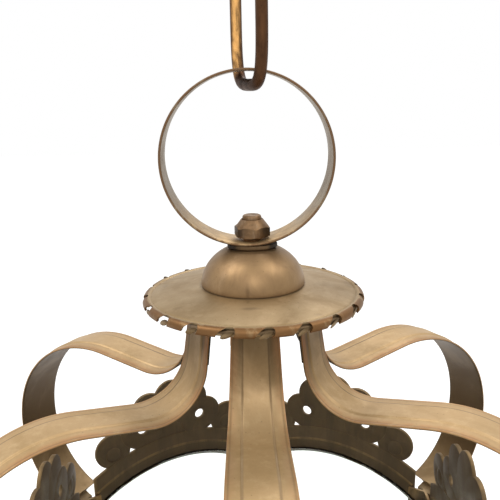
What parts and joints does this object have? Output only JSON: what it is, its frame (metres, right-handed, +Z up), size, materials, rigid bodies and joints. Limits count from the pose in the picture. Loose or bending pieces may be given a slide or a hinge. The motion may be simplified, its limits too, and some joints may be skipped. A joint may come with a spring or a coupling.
{
  "type": "lantern",
  "caption": "Hexagonal hanging hall lantern with a chain link, hanging ring, strap-arm crown, pierced arched rails, glazed sides, a hinged door and a candle cluster.",
  "frame": {"origin": "hanging point: the inside top of the chain link, where the next link or hook bears", "axes": "+Z up along the lantern's centre line; -Y is the front, where one arm faces the viewer; +X to the viewer's right"},
  "size_m": [0.3202, 0.3548, 0.7769],
  "materials": {
    "aged_brass": "aged, brown patina, satin",
    "rubbed_brass": "aged and rubbed, tan patina with orange edges, satin",
    "copper_steel": "copper-plated steel, worn to brown",
    "dark_cast_brass": "cast, dark patina",
    "black_iron": "blackened",
    "worn_steel": "weathered, brown with grey patches",
    "clear_glass": "clear",
    "ivory_wax": "smooth wax",
    "wick_cotton": "waxed cotton"
  },
  "bodies": {
    "chain": {"chain_link": "copper_steel"},
    "door": {"door_frame": "aged_brass", "door_glass": "clear_glass"},
    "button": {"turn_button": "aged_brass"},
    "lantern": {"hanging_ring": "rubbed_brass", "center_stud": "worn_steel", "ring_nut": "worn_steel", "saddle_washer": "black_iron", "canopy_disc": "rubbed_brass", "dome_cap": "aged_brass", "arm_spider": "black_iron", "hub_nut": "worn_steel", "arm_1": "rubbed_brass", "arm_2": "rubbed_brass", "arm_3": "rubbed_brass", "arm_4": "rubbed_brass", "arm_5": "rubbed_brass", "arm_6": "rubbed_brass", "corner_post_1": "aged_brass", "corner_post_2": "aged_brass", "corner_post_3": "aged_brass", "corner_post_4": "aged_brass", "corner_post_5": "aged_brass", "corner_post_6": "aged_brass", "arched_rail_1": "dark_cast_brass", "arched_rail_2": "dark_cast_brass", "arched_rail_3": "dark_cast_brass", "arched_rail_4": "dark_cast_brass", "arched_rail_5": "dark_cast_brass", "arched_rail_6": "dark_cast_brass", "glass_pane_2": "clear_glass", "glass_pane_3": "clear_glass", "glass_pane_4": "clear_glass", "glass_pane_5": "clear_glass", "glass_pane_6": "clear_glass", "upper_hinge": "aged_brass", "lower_hinge": "aged_brass", "button_rivet": "aged_brass", "base_frame": "aged_brass", "base_pan": "aged_brass", "drop_finial": "rubbed_brass", "finial_nut": "worn_steel", "stem_coupling": "aged_brass", "stem_rod": "aged_brass", "cluster_hub": "aged_brass", "candle_arm_1": "aged_brass", "drip_pan_1": "aged_brass", "candle_cup_1": "aged_brass", "candle_1": "ivory_wax", "wick_1": "wick_cotton", "candle_arm_2": "aged_brass", "drip_pan_2": "aged_brass", "candle_cup_2": "aged_brass", "candle_2": "ivory_wax", "wick_2": "wick_cotton", "candle_arm_3": "aged_brass", "drip_pan_3": "aged_brass", "candle_cup_3": "aged_brass", "candle_3": "ivory_wax", "wick_3": "wick_cotton"}
  },
  "joints": [
    {"name": "lantern_swing", "type": "hinge", "parent": "chain", "child": "lantern", "pos_m": [0, 0, -0.067], "axis": [0.3338, -0.9426, 0], "range_deg": [-20, 20]},
    {"name": "door_hinge", "type": "hinge", "parent": "lantern", "child": "door", "pos_m": [0.1146, -0.0772, -0.523], "axis": [0, 0, 1], "range_deg": [0, 105]},
    {"name": "button_turn", "type": "hinge", "parent": "lantern", "child": "button", "pos_m": [0.0077, -0.1376, -0.5205], "axis": [0.5, -0.866, 0], "range_deg": [0, 90]}
  ]
}
